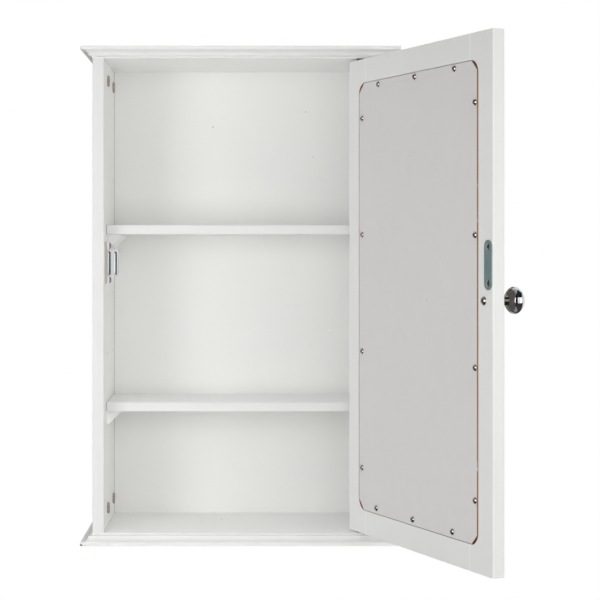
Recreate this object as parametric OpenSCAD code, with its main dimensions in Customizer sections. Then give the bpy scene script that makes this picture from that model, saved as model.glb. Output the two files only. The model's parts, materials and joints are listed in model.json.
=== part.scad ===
// Wall-hung cabinet with one mirror door, in white painted fibreboard.
// The front faces -Y, the wall is the plane y = 0 and +Z is up. The origin lies
// midway between the two hanger slots. The door is inset, turns on a pin at each
// end of its right stile and is drawn open, as it stands in use.

/* [Cabinet] */
// Width over the mouldings
cabinet_w = 340; // [300:1:420]
// Height over the two boards
cabinet_h = 530; // [480:1:640]
// Depth of the side panels, from the wall to their front edges
body_d = 140; // [127:1:180]
// Thickness of the top and bottom boards
board_t = 12; // [12:0.5:16]
// Thickness of the side panels
side_t = 12; // [12:0.5:16]
// Radius that eases the painted arrises
arris_r = 0.8; // [0.4:0.1:1.2]

/* [Moulding] */
// How far the moulding stands out from the side panels
flare = 12; // [10:0.5:16]
// Height of the square fillet at the outer face
fillet_h = 4; // [3:0.5:5]
// Radius of the cove between the fillet and the bead
cove_r = 5.6; // [4.6:0.1:5.9]
// Overhang of the fillet past the cove
cove_lip = 2.6; // [1.8:0.1:3.4]
// How far the bead stands out from the side panels
bead_out = 0.8; // [0.4:0.1:1]

/* [Back and shelves] */
// Thickness of the back panel
back_t = 3; // [2.5:0.1:4]
// Distance from the wall to the back panel
back_inset = 6; // [6:0.5:10]
// Depth of the grooves that hold the back panel
groove_depth = 4; // [3:0.5:4]
// Thickness of a shelf
shelf_t = 10; // [8:0.5:15]
// Room between the swinging door edge and the shelves
shelf_clear = 4; // [2:0.5:10]
// Gap at each end of a shelf
shelf_end_gap = 0.7; // [0.3:0.1:1.5]
// Height from one row of peg holes to the next
peg_pitch = 64; // [32:32:64]
// Number of rows of peg holes
peg_row_count = 5; // [5:2:7]
// Number of rows of peg holes below the upper shelf's pegs
upper_row_count = 3; // [2:1:4]
// Number of rows of peg holes below the lower shelf's pegs
lower_row_count = 0; // [0:1:1]
// Distance from a shelf's front and rear edges to its pegs
peg_edge = 17.5; // [12:0.5:24]

/* [Door] */
// Thickness of the door frame
door_t = 12.5; // [12:0.5:16]
// Gap between the door and each side panel
door_side_gap = 1.5; // [1:0.1:2.5]
// Gap between the door and the top board
door_top_gap = 2.5; // [1.5:0.1:3.5]
// Gap between the door and the bottom board
door_bottom_gap = 1.5; // [1:0.1:3]
// Width of the stiles and rails
stile_w = 40; // [38:0.5:46]
// Distance from the right side panel to the pivot axis
pivot_inset = 18; // [17:0.5:22]
// Rounding of the door's hinge edge
hinge_edge_r = 4; // [2:0.5:6]
// Angle at which the door stands open
door_angle = 113.6; // [0:0.1:140]
// How far the backing panel's rebate reaches past the sight opening
rebate_reach = 15; // [14:0.5:16]
// Corner radius of that rebate
rebate_r = 13; // [10:0.5:16]
// Depth of the backing panel's face below the frame's inner face
backing_sink = 0.5; // [0.2:0.1:1]
// Thickness of the backing panel
backing_t = 3; // [2.5:0.5:4]
// Thickness of the mirror glass
glass_t = 3; // [2.5:0.5:4]
// How far the frame's front lip covers the mirror
glass_lap = 4; // [3:0.5:6]

/* [Knob] */
// Diameter of the knob's cap
knob_d = 25.7; // [20:0.1:34]
// Height of the cap's rim above the door
knob_rim_h = 21.5; // [16:0.5:26]
// Height of the dome above the rim
knob_dome_h = 8; // [4:0.5:10]
// Distance from the door's free edge to the knob's axis
knob_edge = 15.5; // [14:0.5:18]
// Height of the knob above the middle of the door
knob_rise = 2; // [-60:1:60]

/* [Catch] */
// Height of the catch above the middle of the door
catch_rise = 35; // [30:1:50]
// Length of the strike plate
strike_l = 46; // [40:1:50]
// Width of the strike plate
strike_w = 12.4; // [10:0.1:13]
// Distance from the door's free edge to the strike plate
strike_margin = 0.9; // [0.6:0.1:2]

/* [Hanging] */
// Distance from the top of the cabinet to the hanger slots
hanger_drop = 40; // [36:1:80]
// Diameter of the wall screw's shank that the slot takes
hanger_slot_d = 4.4; // [4:0.1:5]
// Diameter of the hole that the wall screw's head enters by
hanger_head_d = 8.4; // [8:0.1:9]

/* [Hidden] */

$fn = 48;
paint = [0.91, 0.91, 0.905];
backing_grey = [0.78, 0.78, 0.775];
raw_board = [0.66, 0.52, 0.4];
bush_brown = [0.28, 0.2, 0.15];
ferrite = [0.15, 0.15, 0.16];
zinc = [0.62, 0.64, 0.65];
steel = [0.42, 0.41, 0.4];
chrome = [0.8, 0.8, 0.82];
white_plastic = [0.86, 0.87, 0.89];

// One overrun serves all cuts
over = 1;
// Clearance all round a pin, a bush, a cam or a dowel in its bore
fit = 0.05;

// Carcass
body_w = cabinet_w - 2 * flare;
inner_w = body_w - 2 * side_t;
inner_h = cabinet_h - 2 * board_t;
top_z = hanger_drop;
bottom_z = top_z - cabinet_h;
inner_top = top_z - board_t;
inner_bottom = bottom_z + board_t;
mid_z = (inner_top + inner_bottom) / 2;
front_y = -body_d;
bead_r = (board_t - fillet_h - cove_r) / 2;

// Back panel in its grooves
back_gap = 0.1;
back_front_y = -back_inset - back_t;
back_reach = groove_depth - fit;

// Door on its pins
door_w = inner_w - 2 * door_side_gap;
door_h = inner_h - door_top_gap - door_bottom_gap;
door_bottom = inner_bottom + door_bottom_gap;
door_top = inner_top - door_top_gap;
door_mid_z = (door_top + door_bottom) / 2;
door_inner_y = front_y + door_t;
pivot_x = inner_w / 2 - pivot_inset;
pivot_y = front_y + door_t / 2;
pivot_to_edge = pivot_inset - door_side_gap;
swing_r = norm([pivot_to_edge, door_t / 2]);
rail_l = door_w - 2 * stile_w;

// Shelves and pegs
shelf_front_y = pivot_y + swing_r + shelf_clear;
shelf_back_y = back_front_y - back_gap;
shelf_w = inner_w - 2 * shelf_end_gap;
peg_columns = [shelf_front_y + peg_edge, shelf_back_y - peg_edge];
// The rows of peg holes stand this much below the middle of the side panels
peg_rows_low = 1;
peg_r = 2.5;
peg_hole_depth = 9;
peg_pin_l = 8;
peg_leg = 15;
peg_wide = 7;
peg_thick = 1.8;

// Knock-down fittings
cam_r = 6;
cam_depth = 9.5;
cam_proud = 2;
cam_end = 19.5;
cam_slot_w = 1.6;
cam_slot_l = 7;
cam_slot_deep = 1.6;
bolt_r = 2;
bolt_room = 0.5;
bolt_head_r = 2.6;
bolt_head_l = 3;
bolt_thread_r = 2.5;
bolt_hold = 8;
dowel_r = 3;
dowel_hold = 8;
dowel_reach = 16;
dowel_front = 18;
dowel_columns = [front_y + dowel_front, (peg_columns[0] + peg_columns[1]) / 2];
fitting_x = inner_w / 2 + side_t / 2;

// Pivots
pin_r = 2.5;
pin_hold = 20;
bush_r = 3.5;
bush_l = 8;
bush_flange_r = 4;
bush_play = 0.2;

// Rebates of the door, from its inner face
rebate_margin = stile_w - rebate_reach;
rebate_depth = backing_sink + backing_t;
glass_depth = rebate_depth + glass_t;
glass_gap = 0.8;
glass_margin = stile_w - glass_lap - glass_gap;
glass_rebate_r = 5;
glass_clip = 4;
sight_quirk = 0.8;
sight_round_r = 3.2;
backing_gap_hinge = 0.4;
backing_gap_free = 2;
backing_gap_end = 0.5;
backing_clip_less = 2.5;
door_dowel_l = 30;
door_dowel_wall = 6;
door_dowel_hold = stile_w - pivot_to_edge - pin_r - door_dowel_wall;
door_dowel_ends = [8, 18];

// Small pan-head screws
screw_head_r = 3.3;
screw_head_h = 1.9;
screw_r = 1.45;
screw_l = 9;
screw_recess_w = 0.9;
screw_recess_l = 3.4;
screw_recess_deep = 1;
row_screw_pitch = 76.5;
column_screw_pitch = 123.4;
column_screw_inset = 6.6;
column_reach = door_w / 2 - rebate_margin - column_screw_inset;
// The screws are driven by eye, so each row and column stands a little off: the
// values are for the lower and upper row, and for the free and hinge side's column
row_screw_insets = [6.3, 4.8];
row_screw_shifts = [4.4, 0.8];
column_screw_shifts = [1, 3.5];

// Strike plate and magnetic catch
strike_t = 1.2;
strike_screw_pitch = 33.5;
strike_head_r = 3.1;
strike_dome_h = 0.4;
strike_x = -door_w / 2 + strike_margin + strike_w / 2;
strike_z = door_mid_z + catch_rise;
catch_play = 0.3;
catch_w = 11.2;
catch_deep = 14;
catch_h = 29;
ear_t = 2;
ear_h = 45;
shim_t = 2.4;
pole_slot_w = 2.8;
pole_slot_h = 24.5;
pole_slot_deep = 12;
pole_t = 1.2;
pole_h = 22.5;
pole_out = 0.5;
pole_pitch = 6.7;
magnet_back = 3;
ear_screw_pitch = 37;
ear_slot_l = 7;
catch_x = -inner_w / 2 + shim_t;
catch_stack_x = catch_x + (catch_w - pole_slot_w + pole_t) / 2;
catch_front_y = door_inner_y + strike_t + catch_play + pole_out;
ear_screw_y = catch_front_y + catch_deep / 2;

// Knob
knob_base_r = 7;
knob_base_h = 1.6;
knob_neck_r = 5;
knob_neck_h = 12;
knob_band_h = 1;
knob_flare_steps = 14;
knob_thread_r = 2;
knob_thread_l = 9;
knob_play = 0.5;
knob_screw_head_r = 4.4;
knob_screw_head_h = 2.4;
knob_recess_l = 4.6;
knob_x = -door_w / 2 + knob_edge;
knob_z = door_mid_z + knob_rise;
knob_r = knob_d / 2;

// Hanger plates
hanger_w = 10;
hanger_l = 42;
hanger_t = 1.2;
hanger_pocket = 3.4;
hanger_travel = 8;
hanger_screw_pitch = 32;
hanger_screw_r = 1.4;
hanger_screw_head_r = 2.7;
hanger_screw_l = 12;
hanger_screw_head_h = 1.2;
hanger_mid_z = -hanger_travel / 2;

// Shared shapes

// Children on the right, and mirrored on the left
module both_sides() {
    children();
    mirror([1, 0, 0]) children();
}

// Children turned with the door about its pivot axis
module on_door() {
    translate([pivot_x, pivot_y, 0]) rotate([0, 0, door_angle])
        translate([-pivot_x, -pivot_y, 0]) children();
}

// Rectangle from the origin whose two corners at y = 0 have the radius r
module eased(w, d, r) {
    translate([0, r]) square([w, d - r]);
    translate([r, 0]) square([w - 2 * r, d]);
    for (x = [r, w - r]) translate([x, r]) circle(r);
}

// Centred rectangle with rounded corners
module rounded(w, h, r) {
    square([w - 2 * r, h], center = true);
    square([w, h - 2 * r], center = true);
    for (x = [-1, 1], y = [-1, 1])
        translate([x * (w / 2 - r), y * (h / 2 - r)]) circle(r);
}

// Centred rectangle with clipped corners
module clipped(w, h, c) {
    polygon([
        [w / 2, h / 2 - c], [w / 2 - c, h / 2], [c - w / 2, h / 2], [-w / 2, h / 2 - c],
        [-w / 2, c - h / 2], [c - w / 2, -h / 2], [w / 2 - c, -h / 2], [w / 2, c - h / 2]
    ]);
}

// Centred strip with round ends, standing along Y
module stadium(w, l) {
    square([w, l - w], center = true);
    for (y = [-1, 1]) translate([0, y * (l - w) / 2]) circle(w / 2);
}

// Radius of the sphere whose cap has this radius and height
function cap_sphere_r(cap_r, cap_h) = (cap_r * cap_r + cap_h * cap_h) / (2 * cap_h);

// Cap of a sphere, standing on z = 0
module low_dome(cap_r, cap_h) {
    dome_r = cap_sphere_r(cap_r, cap_h);
    intersection() {
        translate([0, 0, cap_h - dome_r]) sphere(dome_r);
        cylinder(r = cap_r, h = cap_h);
    }
}

// Cross for the driver, cut down from the height top
module cross_recess(top, recess_l) {
    for (turn = [0, 90]) rotate([0, 0, turn])
        translate([-recess_l / 2, -screw_recess_w / 2, top - screw_recess_deep])
            cube([recess_l, screw_recess_w, screw_recess_deep + over]);
}

// Pan-head screw with its head's seat at z = 0, the shank going down
module pan_screw(head_r, head_h, shank_r, shank_l, recess_l) {
    difference() {
        union() {
            low_dome(head_r, head_h);
            translate([0, 0, -shank_l]) cylinder(r = shank_r, h = shank_l + head_h / 2);
        }
        cross_recess(head_h, recess_l);
    }
}

// Moulded boards

// Section of a board's routed edge: +X out of the cabinet from the side panel's
// face, +Y from the outer face to the inner face, and run inwards from x = 0
module moulding_section(run) {
    translate([-run, 0]) square([run, board_t]);
    square([flare - arris_r, fillet_h]);
    translate([0, arris_r]) square([flare, fillet_h - 2 * arris_r]);
    for (y = [arris_r, fillet_h - arris_r]) translate([flare - arris_r, y]) circle(arris_r);
    difference() {
        translate([0, fillet_h]) square([flare - cove_lip, cove_r]);
        translate([flare - cove_lip, fillet_h + cove_r]) circle(cove_r);
    }
    translate([bead_out - bead_r, board_t - bead_r]) circle(bead_r);
}

// Board with its outer face at z = 0, routed on the front and both sides. The
// front run and the side runs cross each other, which mitres the two corners.
module moulded_board() {
    intersection() {
        translate([0, front_y, 0]) rotate([90, 0, -90])
            linear_extrude(cabinet_w + 2 * over, center = true) moulding_section(body_d);
        translate([0, over, 0]) rotate([90, 0, 0])
            linear_extrude(body_d + flare + 2 * over) for (flip = [0, 1])
                mirror([flip, 0]) translate([body_w / 2, 0]) moulding_section(body_w / 2);
    }
}

// Moulded board with the bores and the groove in its inner face
module bored_board() {
    difference() {
        moulded_board();
        both_sides() {
            for (y = peg_columns) translate([fitting_x, y, board_t - bolt_hold - fit])
                cylinder(r = bolt_thread_r + fit, h = bolt_hold + over);
            for (y = dowel_columns) translate([fitting_x, y, board_t - dowel_hold - fit])
                cylinder(r = dowel_r + fit, h = dowel_hold + over);
        }
        translate([pivot_x, pivot_y, board_t - bush_l - fit])
            cylinder(r = bush_r + fit, h = bush_l + over);
        translate([-inner_w / 2 - groove_depth, back_front_y - back_gap, board_t - groove_depth])
            cube([inner_w + 2 * groove_depth, back_t + 2 * back_gap, groove_depth + over]);
    }
}

module bottom_board() {
    color(paint) translate([0, 0, bottom_z]) bored_board();
}

module top_board() {
    color(paint) translate([0, 0, top_z]) mirror([0, 0, 1]) bored_board();
}

// Side panels

// Height of the row of peg holes with so many rows below it
function peg_row_z(row) = mid_z - peg_rows_low + (row - (peg_row_count - 1) / 2) * peg_pitch;

// Row of peg holes, cams, dowels and the back panel's groove in the right panel
module side_panel() {
    difference() {
        translate([inner_w / 2, front_y, inner_bottom])
            linear_extrude(inner_h) eased(side_t, body_d, arris_r);
        for (y = peg_columns, row = [0 : peg_row_count - 1])
            translate([inner_w / 2 - over, y, peg_row_z(row)]) rotate([0, 90, 0])
                cylinder(r = peg_r, h = peg_hole_depth + over);
        for (up = [0, 1]) translate([0, 0, mid_z]) mirror([0, 0, up]) translate([0, 0, -inner_h / 2]) {
            for (y = peg_columns) {
                translate([inner_w / 2 - over, y, cam_end]) rotate([0, 90, 0])
                    cylinder(r = cam_r, h = cam_depth + over);
                translate([fitting_x, y, -over]) cylinder(r = bolt_r + bolt_room, h = cam_end + over);
            }
            for (y = dowel_columns) translate([fitting_x, y, -over])
                cylinder(r = dowel_r + fit, h = dowel_reach + over + fit);
        }
        translate([inner_w / 2 - over, back_front_y - back_gap, inner_bottom - over])
            cube([groove_depth + over, back_t + 2 * back_gap, inner_h + 2 * over]);
        translate([fitting_x, 0, 0]) hanger_pocket_cut();
    }
}

module side_panel_right() {
    color(paint) side_panel();
}

module side_panel_left() {
    color(paint) difference() {
        mirror([1, 0, 0]) side_panel();
        at_ear_screws() translate([0, 0, -screw_l]) cylinder(r = screw_r + fit, h = screw_l + over);
    }
}

module back_panel() {
    color(paint) translate([-inner_w / 2 - back_reach, back_front_y, inner_bottom - back_reach])
        cube([inner_w + 2 * back_reach, back_t, inner_h + 2 * back_reach]);
}

// Shelves on their pegs

function shelf_seat(row) = peg_row_z(row) + peg_r;

module shelf(row) {
    translate([-shelf_w / 2, 0, shelf_seat(row)]) rotate([90, 0, 90])
        linear_extrude(shelf_w) translate([shelf_front_y, shelf_t]) rotate(-90)
            eased(shelf_t, shelf_back_y - shelf_front_y, arris_r);
}

module shelf_upper() {
    color(paint) shelf(upper_row_count);
}

module shelf_lower() {
    color(paint) shelf(lower_row_count);
}

// Plastic shelf peg on the right: a pin, an angle against the panel and a web
module shelf_peg() {
    translate([inner_w / 2 - fit, 0, 0]) rotate([0, 90, 0])
        cylinder(r = peg_r - fit, h = peg_pin_l + fit);
    translate([inner_w / 2 - peg_leg, -peg_wide / 2, peg_r - peg_thick])
        cube([peg_leg, peg_wide, peg_thick]);
    translate([inner_w / 2 - peg_thick, -peg_wide / 2, peg_r - peg_leg])
        cube([peg_thick, peg_wide, peg_leg]);
    translate([inner_w / 2, peg_thick / 2, peg_r]) rotate([90, 0, 0]) linear_extrude(peg_thick)
        polygon([[0, 0], [-peg_leg, 0], [-peg_leg, -peg_thick], [-peg_thick, -peg_leg], [0, -peg_leg]]);
}

module four_pegs(row) {
    for (y = peg_columns) translate([0, y, peg_row_z(row)]) both_sides() shelf_peg();
}

module shelf_pegs_upper() {
    color(white_plastic) four_pegs(upper_row_count);
}

module shelf_pegs_lower() {
    color(white_plastic) four_pegs(lower_row_count);
}

// Knock-down fittings

// Children at the lower right joint of each peg column, repeated at all joints
module at_cams() {
    both_sides() for (up = [0, 1])
        translate([0, 0, mid_z]) mirror([0, 0, up]) translate([0, 0, -inner_h / 2 + cam_end])
            for (y = peg_columns) translate([fitting_x, y, 0]) children();
}

// Cam with a driver cross in its proud head and a cavity that grips the bolt's head
module cam_locks() {
    face_x = -side_t / 2 - cam_proud;
    cam_l = cam_depth + cam_proud - fit;
    neck_w = 2 * (bolt_r + bolt_room);
    head_w = 2 * (bolt_head_r + bolt_room);
    head_l = bolt_head_l + 2 * bolt_room;
    color(zinc) at_cams() difference() {
        translate([face_x, 0, 0]) rotate([0, 90, 0]) cylinder(r = cam_r - fit, h = cam_l);
        for (turn = [0, 90]) translate([face_x - over, 0, 0]) rotate([turn, 0, 0])
            translate([0, -cam_slot_l / 2, -cam_slot_w / 2])
                cube([cam_slot_deep + over, cam_slot_l, cam_slot_w]);
        translate([-neck_w / 2, -neck_w / 2, -cam_r - over])
            cube([cam_l, neck_w, cam_r + over]);
        translate([-head_w / 2, -head_w / 2, -head_l / 2])
            cube([cam_l, head_w, head_l]);
    }
}

// Bolt from the cam's middle through the panel's end into the board
module cam_bolts() {
    color(steel) at_cams() {
        translate([0, 0, -bolt_head_l / 2]) cylinder(r = bolt_head_r, h = bolt_head_l);
        translate([0, 0, -cam_end]) cylinder(r = bolt_r, h = cam_end);
        translate([0, 0, -cam_end - bolt_hold]) cylinder(r = bolt_thread_r, h = bolt_hold);
    }
}

module panel_dowels() {
    color(raw_board) both_sides() for (up = [0, 1])
        translate([0, 0, mid_z]) mirror([0, 0, up]) translate([0, 0, -inner_h / 2 - dowel_hold])
            for (y = dowel_columns) translate([fitting_x, y, 0])
                cylinder(r = dowel_r, h = dowel_hold + dowel_reach);
}

// Hanger plates, let into the rear edges of the side panels

module at_hanger_screws() {
    for (end = [-1, 1]) translate([0, 0, hanger_mid_z + end * hanger_screw_pitch / 2]) children();
}

// Countersunk screw whose flat head lies in the plate's rear face
module hanger_screw(grow) {
    rotate([90, 0, 0]) {
        cylinder(r = hanger_screw_r + grow, h = hanger_screw_l + grow);
        cylinder(r1 = hanger_screw_head_r + grow, r2 = hanger_screw_r + grow, h = hanger_screw_head_h);
    }
}

// Recess for the plate, room for the wall screw's head and the pilot holes
module hanger_pocket_cut() {
    translate([0, over, hanger_mid_z]) rotate([90, 0, 0]) {
        linear_extrude(hanger_t + over) stadium(hanger_w, hanger_l);
        linear_extrude(hanger_t + hanger_pocket + over)
            stadium(hanger_head_d, hanger_head_d + hanger_travel);
    }
    at_hanger_screws() hanger_screw(fit);
}

module hanger_plate() {
    difference() {
        translate([fitting_x, 0, hanger_mid_z]) rotate([90, 0, 0])
            linear_extrude(hanger_t) difference() {
                stadium(hanger_w - 2 * fit, hanger_l - 2 * fit);
                translate([0, -hanger_travel / 2]) circle(hanger_head_d / 2);
                translate([0, hanger_travel / 2]) circle(hanger_slot_d / 2);
                square([hanger_slot_d, hanger_travel], center = true);
            }
        translate([fitting_x, 0, 0]) at_hanger_screws() hanger_screw(fit);
    }
}

module hanger_plate_right() {
    color(zinc) hanger_plate();
}

module hanger_plate_left() {
    color(zinc) mirror([1, 0, 0]) hanger_plate();
}

module hanger_screws() {
    color(zinc) both_sides() translate([fitting_x, 0, 0]) at_hanger_screws() hanger_screw(0);
}

// Magnetic catch on the left side panel

// Children with +Z out of the panel at each ear screw, seated on its ear
module at_ear_screws() {
    for (end = [-1, 1])
        translate([catch_x + ear_t, ear_screw_y, strike_z + end * ear_screw_pitch / 2])
            rotate([0, 90, 0]) children();
}

module catch_shim() {
    color(raw_board) difference() {
        translate([-inner_w / 2, catch_front_y, strike_z - ear_h / 2]) cube([shim_t, catch_deep, ear_h]);
        at_ear_screws() cylinder(r = screw_r + fit, h = catch_w, center = true);
    }
}

// Slots for the two pole plates and the magnet's chamber between them
module catch_cavity() {
    for (side = [-1, 1])
        translate([catch_x + catch_w / 2 + side * pole_pitch / 2 - pole_slot_w / 2,
                catch_front_y - over, strike_z - pole_slot_h / 2])
            cube([pole_slot_w, pole_slot_deep + over, pole_slot_h]);
    translate([catch_x + (catch_w - pole_pitch) / 2, catch_front_y + magnet_back, strike_z - pole_slot_h / 2])
        cube([pole_pitch, pole_slot_deep - magnet_back, pole_slot_h]);
}

module catch_housing() {
    color(white_plastic) difference() {
        union() {
            translate([catch_x, catch_front_y, strike_z - catch_h / 2]) cube([catch_w, catch_deep, catch_h]);
            translate([catch_x, catch_front_y, strike_z - ear_h / 2]) cube([ear_t, catch_deep, ear_h]);
        }
        catch_cavity();
        at_ear_screws() for (shift = [-1, 1]) translate([0, shift * (ear_slot_l / 2 - screw_r), 0])
            cylinder(r = screw_r + fit, h = catch_w, center = true);
        for (end = [-1, 1])
            translate([catch_x - over, ear_screw_y - ear_slot_l / 2 + screw_r,
                    strike_z + end * ear_screw_pitch / 2 - screw_r - fit])
                cube([ear_t + 2 * over, ear_slot_l - 2 * screw_r, 2 * (screw_r + fit)]);
    }
}

// The plates and the magnet between them have play, and lean to the side panel
module catch_pole_plates() {
    color(zinc) for (side = [-1, 1])
        translate([catch_stack_x + side * pole_pitch / 2 - pole_t / 2, catch_front_y - pole_out,
                strike_z - pole_h / 2])
            cube([pole_t, pole_slot_deep + pole_out - fit, pole_h]);
}

module catch_magnet() {
    magnet_w = pole_pitch - pole_t;
    color(ferrite) translate([catch_stack_x - magnet_w / 2, catch_front_y + magnet_back + fit,
            strike_z - pole_h / 2])
        cube([magnet_w, pole_slot_deep - magnet_back - 2 * fit, pole_h]);
}

module catch_screws() {
    color(steel) at_ear_screws()
        pan_screw(screw_head_r, screw_head_h, screw_r, screw_l, screw_recess_l);
}

// Pivots at the top and the bottom of the hinge stile

// Flanged bush in the board, its flange filling the gap above the door
module pivot_bush(gap) {
    flange_t = gap - bush_play;
    difference() {
        union() {
            translate([0, 0, -flange_t]) cylinder(r = bush_flange_r, h = flange_t);
            cylinder(r = bush_r, h = bush_l);
        }
        translate([0, 0, -gap]) cylinder(r = pin_r + fit, h = gap + bush_l + over);
    }
}

module pivot_bush_top() {
    color(bush_brown) translate([pivot_x, pivot_y, inner_top]) pivot_bush(door_top_gap);
}

module pivot_bush_bottom() {
    color(bush_brown) translate([pivot_x, pivot_y, inner_bottom]) mirror([0, 0, 1])
        pivot_bush(door_bottom_gap);
}

// Steel pin pressed into the stile's end, standing up into the bush
module pivot_pin(gap) {
    translate([0, 0, -pin_hold]) cylinder(r = pin_r, h = pin_hold + gap + bush_l - bush_play);
}

module pivot_pin_top() {
    color(steel) on_door() translate([pivot_x, pivot_y, door_top]) pivot_pin(door_top_gap);
}

module pivot_pin_bottom() {
    color(steel) on_door() translate([pivot_x, pivot_y, door_bottom]) mirror([0, 0, 1])
        pivot_pin(door_bottom_gap);
}

// Door frame, drawn shut and then turned

// Children upright in the door's plane: X across, Y up, Z from the inner face
// towards the room, with the origin at the middle of the inner face
module in_door_plane() {
    translate([0, door_inner_y, door_mid_z]) rotate([90, 0, 0]) children();
}

// Section of the cut through the lip: the sight opening with a rounded and
// quirked front edge. X runs from the opening's middle, Y from the mirror's face.
module sight_section(half) {
    lip_t = door_t - glass_depth;
    lead = sight_round_r + sight_quirk;
    translate([-half, -glass_t]) square([2 * half, glass_t + lip_t + over]);
    for (flip = [0, 1]) mirror([flip, 0]) translate([half - over, lip_t - lead]) difference() {
        square([lead + over, lead + over]);
        translate([over + lead, 0]) circle(sight_round_r);
    }
}

// Rebates and sight opening of the whole door, in the door's plane
module door_cut() {
    sight_w = door_w - 2 * stile_w;
    sight_h = door_h - 2 * stile_w;
    translate([0, 0, -over]) linear_extrude(rebate_depth + over)
        rounded(door_w - 2 * rebate_margin, door_h - 2 * rebate_margin, rebate_r);
    linear_extrude(glass_depth)
        rounded(door_w - 2 * glass_margin, door_h - 2 * glass_margin, glass_rebate_r);
    translate([0, 0, glass_depth]) intersection() {
        rotate([90, 0, 0]) linear_extrude(door_h, center = true) sight_section(sight_w / 2);
        rotate([90, 0, 90]) linear_extrude(door_w, center = true) sight_section(sight_h / 2);
    }
}

// Middles of the dowels across the joints of the stiles and rails, which end
// short of the pivot pin in the stile and reach as far into the rail as they need
module at_door_dowels() {
    inward = door_dowel_l / 2 - door_dowel_hold;
    for (x = [-1, 1], z = [-1, 1], end = door_dowel_ends)
        translate([x * (rail_l / 2 - inward), pivot_y, door_mid_z + z * (door_h / 2 - end)])
            rotate([0, 90, 0]) children();
}

// Everything that is cut in the frame's four pieces alike
module frame_cuts() {
    in_door_plane() door_cut();
    at_door_dowels() cylinder(r = dowel_r + fit, h = door_dowel_l + 2 * fit, center = true);
    at_backing_screws() translate([0, 0, -screw_l - fit]) cylinder(r = screw_r + fit, h = screw_l);
}

// Stile on the right, from the rail's end to the door's edge
module stile(edge_r) {
    translate([door_w / 2, front_y, door_bottom]) rotate([0, 0, 90])
        linear_extrude(door_h) eased(door_t, stile_w, edge_r);
}

module door_stile_hinge() {
    color(paint) on_door() difference() {
        stile(hinge_edge_r);
        frame_cuts();
        translate([pivot_x, pivot_y, door_bottom]) for (up = [0, 1])
            translate([0, 0, up * (door_h - pin_hold - fit) - (1 - up) * over])
                cylinder(r = pin_r + fit, h = pin_hold + fit + over);
    }
}

module door_stile_free() {
    color(paint) on_door() difference() {
        mirror([1, 0, 0]) stile(arris_r);
        frame_cuts();
        at_strike_screws() translate([0, 0, -screw_l - fit]) cylinder(r = screw_r + fit, h = screw_l + over);
        translate([knob_x, door_inner_y + over, knob_z]) rotate([90, 0, 0])
            cylinder(r = knob_thread_r + fit, h = door_t + 2 * over);
    }
}

// Rail between the stiles, on the top when up is 1 and on the bottom when it is -1
module rail(up) {
    difference() {
        translate([-rail_l / 2, front_y, door_mid_z + up * (door_h - stile_w) / 2 - stile_w / 2])
            cube([rail_l, door_t, stile_w]);
        frame_cuts();
    }
}

module door_rail_top() {
    color(paint) on_door() rail(1);
}

module door_rail_bottom() {
    color(paint) on_door() rail(-1);
}

module door_dowels() {
    color(raw_board) on_door() at_door_dowels() cylinder(r = dowel_r, h = door_dowel_l, center = true);
}

// Mirror and its backing panel

module mirror_glass() {
    w = door_w - 2 * glass_margin - 2 * glass_gap;
    h = door_h - 2 * glass_margin - 2 * glass_gap;
    color(chrome) on_door() in_door_plane() translate([0, 0, rebate_depth])
        linear_extrude(glass_t) clipped(w, h, glass_clip);
}

// Children at each of the backing panel's screws, with +Z out of the inner face
module at_backing_screws() {
    in_door_plane() translate([0, 0, backing_sink]) mirror([0, 0, 1]) {
        for (up = [0, 1], step = [-1, 0, 1]) translate([
                row_screw_shifts[up] + step * row_screw_pitch,
                (2 * up - 1) * (door_h / 2 - rebate_margin - row_screw_insets[up]), 0
            ]) children();
        for (side = [0, 1], step = [-3 / 2, -1 / 2, 1 / 2, 3 / 2]) translate([
                (2 * side - 1) * column_reach,
                column_screw_shifts[side] + step * column_screw_pitch, 0
            ]) children();
    }
}

module mirror_backing() {
    w = door_w - 2 * rebate_margin - backing_gap_hinge - backing_gap_free;
    h = door_h - 2 * rebate_margin - 2 * backing_gap_end;
    shift = (backing_gap_free - backing_gap_hinge) / 2;
    color(backing_grey) on_door() difference() {
        in_door_plane() translate([shift, 0, backing_sink]) linear_extrude(backing_t)
            clipped(w, h, rebate_r - backing_clip_less);
        at_backing_screws() cylinder(r = screw_r + fit, h = 2 * backing_t + over, center = true);
    }
}

module backing_screws() {
    color(steel) on_door() at_backing_screws()
        pan_screw(screw_head_r, screw_head_h, screw_r, screw_l, screw_recess_l);
}

// Strike plate on the free stile

// Children at each strike screw, with +Z out of the door's inner face
module at_strike_screws() {
    for (end = [-1, 1])
        translate([strike_x, door_inner_y, strike_z + end * strike_screw_pitch / 2])
            rotate([-90, 0, 0]) children();
}

module strike_plate() {
    color(zinc) on_door() difference() {
        translate([strike_x, door_inner_y, strike_z]) rotate([-90, 0, 0])
            linear_extrude(strike_t) stadium(strike_w, strike_l);
        at_strike_screws() oval_screw_body(fit);
    }
}

// Cone of an oval-head screw and its shank, with the plate's outer face at strike_t
module oval_screw_body(grow) {
    translate([0, 0, -screw_l]) cylinder(r = screw_r + grow, h = screw_l + strike_t + grow);
    cylinder(r1 = screw_r + grow, r2 = strike_head_r + grow, h = strike_t);
}

module strike_screws() {
    color(steel) on_door() at_strike_screws() difference() {
        union() {
            oval_screw_body(0);
            translate([0, 0, strike_t]) low_dome(strike_head_r, strike_dome_h);
        }
        cross_recess(strike_t + strike_dome_h, screw_recess_l);
    }
}

// Knob on the free stile

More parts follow.
